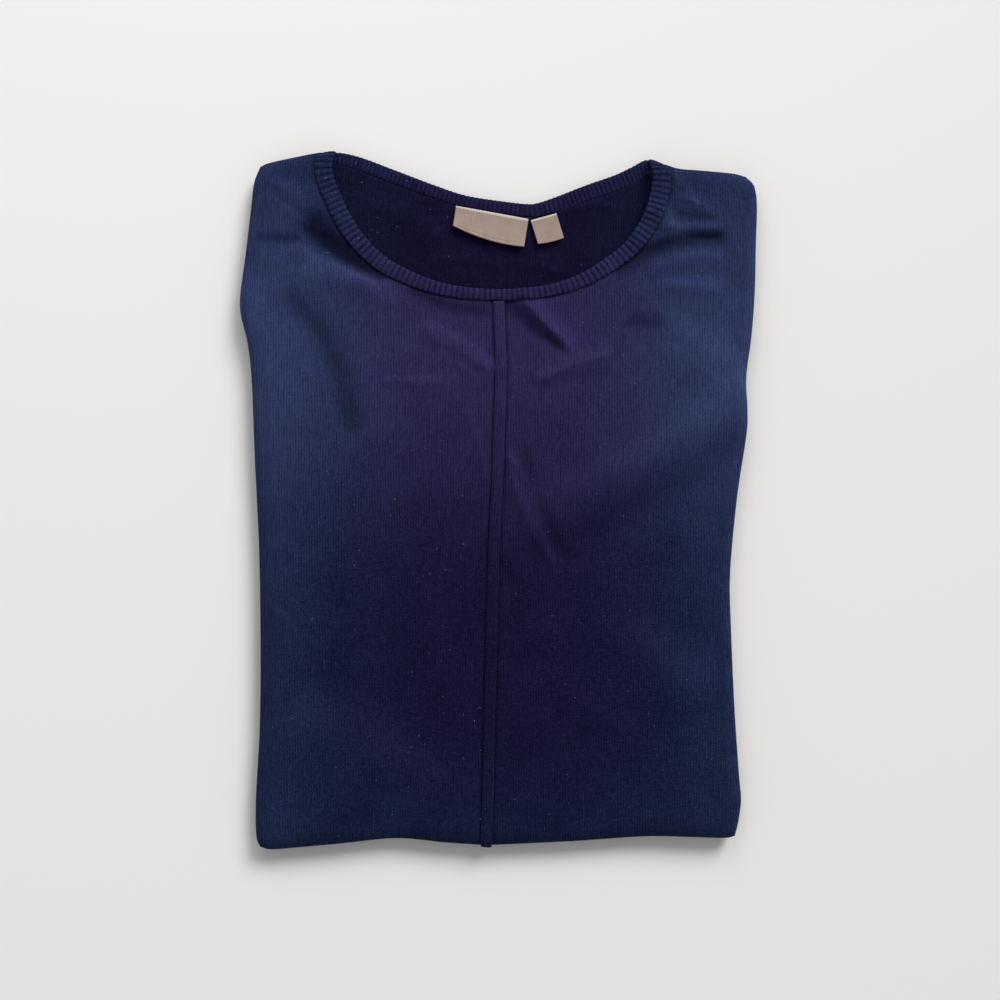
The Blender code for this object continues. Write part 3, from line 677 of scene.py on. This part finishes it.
def ribbed_band(name, node, path, across, widths, pitch, material):
    """A rib knit band swept along a path, its ribs at the stations nearest the pitch."""
    run = run_along(path)
    ribs = round(run[-1] / pitch)
    marks = np.linspace(0, run[-1], RIB_STATIONS * ribs + 1)
    path = read_at(marks, run, path)
    across = read_at(marks, run, across)
    widths = np.interp(marks, run, widths)
    rises = rib_rise(marks, run[-1] / ribs)
    scallop = RIB_SCALLOP * (rises - BAND_RISE) / RIB_RISE

    def section(k):
        shape = band_section(widths[k], rises[k])
        shape[:, 0] = shape[:, 0] * (1 + 2 * scallop[k] / widths[k]) - scallop[k]
        return shape * np.array([-1, 1])

    rings = sweep(path, -across, section)
    around = np.linspace(0, 2 * widths.mean(), rings.shape[1])
    cloth = np.stack(np.meshgrid(marks * FRONT_RIB * ribs / run[-1], around, indexing="ij"),
                     axis=2)
    mesh = tube(name, rings, cloth)
    paint_tone_and_sheen(mesh, BAND_SHEEN)
    return add_piece(name, mesh, material, node)


def front_neckband(material):
    """The ribbed band round the front of the neck, turning down over each shoulder."""
    inner, outward, width = neck_edges()
    edge_run = run_along(inner)
    dense = np.linspace(0, edge_run[-1], 1200)
    plan = at_run(inner, dense)
    out = read_at(dense, edge_run, outward)
    wide = np.interp(dense, edge_run, width)
    beside = plan + out * wide[:, None]
    inset = np.minimum(dense, edge_run[-1] - dense) - BAND_RISE
    keep = inset >= 0
    turn = np.sqrt(1 - (1 - np.clip(inset[keep] / NOSE_REACH, 0, 1)) ** 2)
    height = NOSE_HEIGHT + (face_top(beside)[keep] - NOSE_HEIGHT) * turn
    path = np.column_stack([plan[keep], height])
    ends = np.array([0.0, 0.0, -BAND_DROP])
    path = np.vstack([path[0] + ends, path, path[-1] + ends])
    across = np.column_stack([out[keep], np.zeros(keep.sum())])
    across = np.vstack([across[0], across, across[-1]])
    widths = np.concatenate([wide[keep][:1], wide[keep], wide[keep][-1:]])
    return ribbed_band("front_neck_rib", "neckband_front", path, across, widths, FRONT_RIB,
                       material)


def back_band_lines():
    """The back neckband's upper edge, the way in from it, and its width."""
    line = spline(BACK_EDGE)
    edge = line[:, :2]
    run = run_along(edge)
    marks = np.linspace(BAND_END, run[-1] - BAND_END, 600)
    plan = at_run(edge, marks)
    course = np.linspace(0, len(plan) - 1, 22)
    tangent = np.gradient(plan[course.astype(int)], axis=0)
    tangent = read_at(np.arange(len(plan)), course, tangent)
    tangent /= np.linalg.norm(tangent, axis=1)[:, None]
    inward_way = np.column_stack([tangent[:, 1], -tangent[:, 0]])
    return plan, inward_way, np.interp(marks, run, line[:, 2])


def back_neckband(material):
    """The ribbed band round the back of the neck, seen from inside."""
    plan, way, widths = back_band_lines()
    path = np.column_stack([plan, np.full(len(plan), BACK_HEIGHT - SEAM_GAP)])
    across = np.column_stack([way, np.zeros(len(way))])
    return ribbed_band("back_neck_rib", "neckband_back", path, across, widths, BACK_RIB,
                       material)


def back_height(points):
    """Height of the inside of the back."""
    return (BACK_HEIGHT + fold_sum(points, BACK_FOLDS) + BACK_LIFT + ripple(points, 26, 0.3, 4)
            + ripple(points, 9, 0.1, 5))


def back_panel(material):
    """Inside of the back, reaching a little way under the front all round."""
    inner, outward = neck_edges()[:2]
    run = run_along(inner)
    marks = np.linspace(BACK_START, run[-1] - BACK_START, BACK_COLUMNS)
    hidden = read_at(marks, run, inner + outward * BACK_UNDER)
    plan, way, widths = back_band_lines()
    seam = plan + way * (widths - BACK_SEAM)[:, None]
    seam = seam[np.diff(np.maximum.accumulate(seam[:, 0]), append=np.inf) > 0]
    seam = at_share(seam, np.linspace(0.01, 0.97, BACK_COLUMNS))
    rows = []
    for share in np.linspace(0, 1, BACK_ROWS):
        row = hidden + (seam - hidden) * share
        drop = BACK_DROP * smooth_step((share - BACK_DROP_AT) / (1 - BACK_DROP_AT))
        rows.append(np.column_stack([row, back_height(row) - drop]))
    rows = np.array(rows)
    mesh = join_sheets("inside_back", [(rows, rows[..., :2])], merge=False)
    paint_tone_and_sheen(mesh, INSIDE_SHEEN)
    # Painted shade over the whole inside of the neck
    keep_values(mesh, "painted_shade", np.full(len(mesh.vertices), INSIDE_SHADE))
    piece = add_piece("inside_back", mesh, material, "back_panel")
    thicken(piece, BACK_WALL)
    return piece


def centre_tuck(rows, material):
    """The raised tuck, moved out from the points of the front beside the seam."""
    seam = rows[:, 0].copy()
    seam[:, 2] = face_height(seam[:, :2], half_outline(LEFT))
    seam[0, 2] = NOSE_HEIGHT
    seam = seam[:len(nose_rows(NOSE_STEPS)) + seam_rows()][::-1]
    turned = []
    for angle in np.radians([105, 120]):
        under = inward(seam[-1:, :2], LIP_REACH * (1 - math.sin(angle)))
        turned.append([under[0, 0], under[0, 1],
                       NOSE_HEIGHT + (NOSE_HEIGHT - LIP_HEIGHT) * math.cos(angle)])
    path = np.vstack([seam, turned])
    path[:, 0] += SEAM_GAP * 0.6
    across = np.tile([1.0, 0.0, 0.0], (len(path), 1))
    turn = np.linspace(0, 2 * math.pi, 28, endpoint=False)
    side = 0.5 * TUCK_WIDTH * np.sign(np.cos(turn)) * np.abs(np.cos(turn)) ** 0.6
    lift = np.sign(np.sin(turn)) * np.abs(np.sin(turn)) ** 0.8
    lean = 1 + 0.5 * side / TUCK_WIDTH
    rise = np.where(lift > 0, (TUCK_RISE - TUCK_BASE) * lean, TUCK_DEPTH)
    height = TUCK_BASE + lift * rise
    shape = np.column_stack([side, height])[::-1]
    rings = sweep(path, across, lambda k: shape)
    run = run_along(path)
    cloth = np.stack(np.meshgrid(-run, shape[:, 0] + TUCK_WIDTH / 2, indexing="ij"), axis=2)
    mesh = tube("front_tuck", rings, cloth[..., ::-1])
    paint_tone_and_sheen(mesh, CHEST_SHEEN)
    return add_piece("front_tuck", mesh, material, "centre_tuck")


def label(name, node, shape, material):
    """A woven tab, sewn along its top edge and lifting towards its lower edge."""
    top_left, top_right, low_right, low_left = [np.array(corner) for corner in shape.corners]
    rows = []
    cloth = []
    width = np.linalg.norm(top_right - top_left)
    depth = np.linalg.norm(low_left - top_left)
    for down in np.linspace(0, 1, TAB_ROWS):
        across = np.linspace(0, 1, TAB_COLUMNS)[:, None]
        row = (top_left + (top_right - top_left) * across) * (1 - down)
        row = row + (low_left + (low_right - low_left) * across) * down
        row[:, 1] += shape.bow * down * 4 * (across * (1 - across))[:, 0]
        lift = SEAM_GAP + 0.5 + LABEL_WALL + shape.lift * down ** 2
        curl = TAB_CURL * np.sin(across[:, 0] * 5 + down * 2) * down
        base = BACK_HEIGHT + BACK_LIFT + fold_sum(row, BACK_FOLDS)
        rows.append(np.column_stack([row, base + lift + curl]))
        cloth.append(np.column_stack([across[:, 0] * width, np.full(TAB_COLUMNS, down * depth)]))
    mesh = join_sheets(name, [(np.array(rows), np.array(cloth))], merge=False)
    dotted = np.zeros((TAB_ROWS, TAB_COLUMNS))
    dotted[TAB_DOTTED_ROW, 3:-3] = shape.dotted
    keep_values(mesh, "dotted", dotted.ravel())
    piece = add_piece(name, mesh, material, node)
    thicken(piece, LABEL_WALL * 0.7)
    return piece


def folded_layers(material):
    """Side flaps, sleeves and bottom flap behind the front, layered at the edges."""
    left = half_outline(LEFT)
    right = half_outline(RIGHT)[::-1]
    neck = spline(BACK_EDGE)[:, :2]
    neck = neck[(neck[:, 0] > left[-1, 0]) & (neck[:, 0] < right[0, 0])]
    loop = np.vstack([left, neck, right])[::-1]
    loop = at_share(loop, np.linspace(0, 1, LAYER_POINTS, endpoint=False))
    wave = np.sin(np.linspace(0, 2 * math.pi * EDGE_WAVES, len(loop), endpoint=False))
    rows = [np.column_stack([loop * share, np.zeros(len(loop))]) for share in (0.0, 0.5, 0.9)]
    for step in EDGE_LAYERS:
        way = 1 if step.height > GROOVE_HEIGHT else -1
        plan = inward(loop, step.inset + EDGE_UNEVEN * way * wave)
        rows.append(np.column_stack([plan, np.full(len(plan), step.height)]))
    top = inward(loop, BED_INSET)
    raised = SHELF + 0.6 * (bed_height(top) - SHELF)
    rows.append(np.column_stack([inward(loop, NOSE_REACH), raised]))
    for share in (1.0, 0.92, 0.82, 0.7, 0.55, 0.35, 0.15, 0.0):
        plan = top * share
        rows.append(np.column_stack([plan, bed_height(plan)]))
    rows = np.array(rows)
    rows = np.concatenate([rows, rows[:, :1]], axis=1)
    cloth = rows[..., :2] + rows[..., 2:] * np.array([1.0, 0.0])
    mesh = join_sheets("under_layers", [(rows, cloth)])
    paint_tone_and_sheen(mesh, CHEST_SHEEN)
    return add_piece("under_layers", mesh, material, "folded_layers")


class Socket:
    """An output of a shader node that takes part in ordinary arithmetic."""

    def __init__(self, tree, output):
        self.tree = tree
        self.output = output

    def link_to(self, target):
        self.tree.links.new(self.output, target)

    def maths(self, operation, *values):
        return build_node(self.tree, "ShaderNodeMath", {"operation": operation},
                          dict(enumerate(values)))

    def __add__(self, other):
        return self.maths("ADD", self, other)

    def __sub__(self, other):
        return self.maths("SUBTRACT", self, other)

    def __rsub__(self, other):
        return self.maths("SUBTRACT", other, self)

    def __mul__(self, other):
        return self.maths("MULTIPLY", self, other)

    def __truediv__(self, other):
        return self.maths("DIVIDE", self, other)

    def __pow__(self, other):
        return self.maths("POWER", self, other)

    def __lt__(self, other):
        return self.maths("LESS_THAN", self, other)

    def __gt__(self, other):
        return self.maths("GREATER_THAN", self, other)

    __radd__ = __add__
    __rmul__ = __mul__


def build_node(tree, kind, settings=None, inputs=None, output=0):
    """Add a node; its inputs are numbers, colours or sockets."""
    node = tree.nodes.new(kind)
    for key, value in (settings or {}).items():
        setattr(node, key, value)
    for key, value in (inputs or {}).items():
        if isinstance(value, Socket):
            value.link_to(node.inputs[key])
        else:
            node.inputs[key].default_value = value
    return Socket(tree, node.outputs[output])


def cosine(value):
    """Cosine of a value in radians."""
    return value.maths("COSINE", value)


def sine(value):
    """Sine of a value in radians."""
    return value.maths("SINE", value)


def wrapped(value):
    """The part of a value after its whole number."""
    return value.maths("FRACT", value)


def distance_from_zero(value):
    """The value without its sign."""
    return value.maths("ABSOLUTE", value)


def clamped(value):
    """The value kept between 0 and 1."""
    return build_node(value.tree, "ShaderNodeClamp", None, {"Value": value}, "Result")


def mixed(tree, share, first, second):
    """A colour between two others."""
    return build_node(tree, "ShaderNodeMix", {"data_type": "RGBA"},
                      {0: share, 6: first, 7: second}, 2)


def new_surface(name, roughness, sheen, sheen_tint):
    """A material with the settings that are the same all over it."""
    material = bpy.data.materials.new(name)
    material.use_nodes = True
    shader = material.node_tree.nodes["Principled BSDF"]
    shader.inputs["Roughness"].default_value = roughness
    shader.inputs["Specular IOR Level"].default_value = 0.03
    shader.inputs["Sheen Weight"].default_value = sheen
    shader.inputs["Sheen Roughness"].default_value = 0.5
    shader.inputs["Sheen Tint"].default_value = sheen_tint
    return material, material.node_tree, shader


def cloth_place(tree):
    """Place on the flat cloth, in millimetres, as across and along sockets."""
    place = build_node(tree, "ShaderNodeAttribute", {"attribute_name": "cloth"}, None, "Vector")
    parts = build_node(tree, "ShaderNodeSeparateXYZ", None, {0: place}, "X")
    along = Socket(tree, parts.output.node.outputs["Y"])
    return place, parts, along


def noise_at(tree, vector, scale, detail=2.0, roughness=0.5):
    """Soft uneven values, from 0 to 1."""
    return build_node(tree, "ShaderNodeTexNoise", None,
                      {"Vector": vector, "Scale": scale, "Detail": detail,
                       "Roughness": roughness}, "Fac")


def stretched(tree, place, across, along):
    """The place on the cloth with each direction scaled."""
    return build_node(tree, "ShaderNodeVectorMath", {"operation": "MULTIPLY"},
                      {0: place, 1: (across, along, 1.0)}, "Vector")


def painted(tree, name):
    """A value painted on the points of the piece."""
    return build_node(tree, "ShaderNodeAttribute", {"attribute_name": name}, None, "Fac")


def navy(tree, place, mottle):
    """Navy dye, deep to pale and purple to blue, as painted on the cloth; the paleness also
    carries the painted sheen across the chest and the painted light on the ridges.
    """
    broad = noise_at(tree, place, 0.03, 2.0) - 0.5
    patchy = noise_at(tree, place, 0.28, 3.0, 0.6) - 0.5
    small = noise_at(tree, place, 0.9, 3.0, 0.7) - 0.5
    paleness_and_sheen = clamped(painted(tree, "paleness_and_sheen") + painted(tree, "ridge_light") + broad * 0.16
                    + patchy * 0.4 + small * mottle)
    blue = clamped(painted(tree, "blue") + broad * 0.35)
    deep = mixed(tree, blue, DEEP_PURPLE, DEEP_BLUE)
    light = mixed(tree, blue, PALE_PURPLE, PALE_BLUE)
    return mixed(tree, paleness_and_sheen, deep, light)


def lint_mask(tree, place):
    """Few tiny hairs and specks of lint."""
    total = 0
    for across, along in ((1.0, 0.3), (0.35, 0.9)):
        cell = build_node(tree, "ShaderNodeTexVoronoi", None,
                          {"Vector": stretched(tree, place, across, along), "Scale": 0.24},
                          "Distance")
        pick = Socket(tree, cell.output.node.outputs["Color"])
        red = build_node(tree, "ShaderNodeSeparateColor", None, {0: pick}, "Red")
        total = (cell < 0.045) * (red > 0.5) * (red - 0.1) + total
    return total


def knit_material():
    """Stockinette: columns of V stitches, with a soft nap."""
    material, tree, shader = new_surface("navy_knit_cloth", 0.92, 0.10, NAP)
    place, across, along = cloth_place(tree)
    drift = noise_at(tree, place, 0.02, 1.0) - 0.5
    jitter = noise_at(tree, place, 0.55, 2.0) - 0.5
    column = (across + drift * 3.0 + jitter * 1.1) / WALE
    ridge = cosine(column * (2 * math.pi)) * 0.5 + 0.5
    middle = distance_from_zero(wrapped(column) - 0.5) * 2
    stitch = cosine((along / COURSE + middle * 0.55) * (2 * math.pi)) * 0.5 + 0.5
    streak = noise_at(tree, stretched(tree, place, 0.5, 0.09), 1.0, 3.0, 0.6)
    fuzz = noise_at(tree, place, 1.5, 3.0, 0.7)
    # Painted shade in the gaps between the stitch columns, broken up by streaks and fuzz
    gap_shade = clamped((1 - ridge) * (1.6 - streak * 2.4) + (0.5 - fuzz) * 3.0 + 0.16)
    relief = ridge * (0.6 + stitch * 0.4) + fuzz * 1.2
    colour = mixed(tree, gap_shade * 0.66, navy(tree, place, 1.1), SHADOW_NAVY)
    # Painted shade of the troughs, the stitched lines and the inside of the neck, mixed towards
    # the shadow colour
    colour = mixed(tree, painted(tree, "painted_shade") * 0.85, colour, SHADOW_NAVY)
    colour = mixed(tree, lint_mask(tree, place), colour, LINT)
    colour.link_to(shader.inputs["Base Color"])
    bump = build_node(tree, "ShaderNodeBump", None,
                      {"Strength": 0.9, "Distance": 0.4 * MM, "Height": relief}, "Normal")
    bump.link_to(shader.inputs["Normal"])
    return material


def rib_material():
    """Rib knit: the ribs are real, so only painted shade in their grooves, stitches and fuzz are
    added.
    """
    material, tree, shader = new_surface("navy_rib_cloth", 0.92, 0.10, NAP)
    place, across, along = cloth_place(tree)
    stitch = cosine(along * (2 * math.pi / 1.3)) * 0.5 + 0.5
    fuzz = noise_at(tree, place, 2.0, 3.0, 0.7)
    uneven = noise_at(tree, stretched(tree, place, 0.25, 0.25), 1.0, 2.0)
    groove = distance_from_zero(sine(across * (math.pi / FRONT_RIB))) ** 3.0
    # Painted shade in the grooves between the ribs, broken up by fuzz
    gap_shade = clamped(groove * (1.5 - uneven * 1.4) + (0.5 - fuzz) * 2.2)
    colour = mixed(tree, gap_shade * 0.72, navy(tree, place, 1.0), SHADOW_NAVY)
    colour = mixed(tree, lint_mask(tree, place), colour, LINT)
    colour.link_to(shader.inputs["Base Color"])
    bump = build_node(tree, "ShaderNodeBump", None,
                      {"Strength": 0.8, "Distance": 0.35 * MM, "Height": stitch * 0.15 + fuzz},
                      "Normal")
    bump.link_to(shader.inputs["Normal"])
    return material


def label_material():
    """Woven beige tape with a paler stitched top edge."""
    material, tree, shader = new_surface("woven_label_cloth", 0.7, 0.05, WOVEN_SHEEN)
    place, across, along = cloth_place(tree)
    warp = sine(across * (2 * math.pi / 0.45))
    weft = sine(along * (2 * math.pi / 0.35))
    soft = noise_at(tree, place, 0.12, 2.0)
    grain = noise_at(tree, place, 1.4, 2.0) - 0.5
    colour = mixed(tree, clamped(soft + grain * 0.8), WOVEN_DARK, WOVEN_PALE)
    stitches = wrapped(across / 1.9) < 0.7
    edge = (along < 1.2) * (0.35 + stitches * 0.5)
    colour = mixed(tree, edge, colour, WOVEN_EDGE)
    dots = painted(tree, "dotted") * (wrapped(across / 1.1) < 0.5) * 0.55
    colour = mixed(tree, dots, colour, WOVEN_DOTS)
    colour.link_to(shader.inputs["Base Color"])
    bump = build_node(tree, "ShaderNodeBump", None,
                      {"Strength": 0.4, "Distance": 0.12 * MM, "Height": warp * weft}, "Normal")
    bump.link_to(shader.inputs["Normal"])
    return material


def camera():
    """A camera straight above the pile."""
    lens = bpy.data.cameras.new("camera")
    lens.sensor_width = SENSOR
    lens.lens = SENSOR * (CAMERA_HEIGHT - NOSE_HEIGHT) / PHOTO_WIDTH
    eye = bpy.data.objects.new("camera", lens)
    eye.location = ((CAMERA_AIM[0] - PILE_MIDDLE[0]) * MM, (CAMERA_AIM[1] - PILE_MIDDLE[1]) * MM,
                    CAMERA_HEIGHT * MM)
    bpy.context.scene.collection.objects.link(eye)
    bpy.context.scene.camera = eye


def aimed(lamp, way):
    """Put a lamp in the scene so that it shines from a direction on the middle of the pile."""
    light = bpy.data.objects.new(lamp.name, lamp)
    light.location = way
    light.rotation_euler = (-Vector(way)).to_track_quat("-Z", "Y").to_euler()
    bpy.context.scene.collection.objects.link(light)


def studio():
    """The pale floor, both lamps and the pale room."""
    grid = bmesh.new()
    bmesh.ops.create_grid(grid, x_segments=1, y_segments=1, size=FLOOR_HALF)
    mesh = bpy.data.meshes.new("floor")
    grid.to_mesh(mesh)
    grid.free()
    floor = bpy.data.objects.new("floor", mesh)
    bpy.context.scene.collection.objects.link(floor)
    material, _, shader = new_surface("pale_floor", 0.8, 0.0, (1, 1, 1, 1))
    shader.inputs["Base Color"].default_value = FLOOR_COLOUR
    mesh.materials.append(material)
    key = bpy.data.lights.new("key", "SUN")
    key.energy = KEY_ENERGY
    key.angle = math.radians(KEY_ANGLE)
    key.color = KEY_COLOUR
    aimed(key, KEY_FROM)
    top = bpy.data.lights.new("top", "AREA")
    top.size = TOP_SIZE
    top.energy = TOP_ENERGY
    aimed(top, TOP_FROM)
    world = bpy.data.worlds.new("room")
    world.use_nodes = True
    background = world.node_tree.nodes["Background"]
    background.inputs["Color"].default_value = ROOM_COLOUR
    background.inputs["Strength"].default_value = ROOM_STRENGTH
    bpy.context.scene.world = world
    bpy.context.scene.view_settings.view_transform = "Standard"


def build():
    """Make every piece, then the floor and the lights."""
    camera()
    knit = knit_material()
    ribbing = rib_material()
    woven = label_material()
    rows = front("left_front", "front_left", LEFT, -1, knit)
    front("right_front", "front_right", RIGHT, 1, knit)
    centre_tuck(rows, knit)
    front_neckband(ribbing)
    back_neckband(ribbing)
    back_panel(knit)
    label("main_tab", "label_main", MAIN_LABEL, woven)
    label("size_tab", "label_size", SIZE_LABEL, woven)
    folded_layers(knit)
    studio()


build()
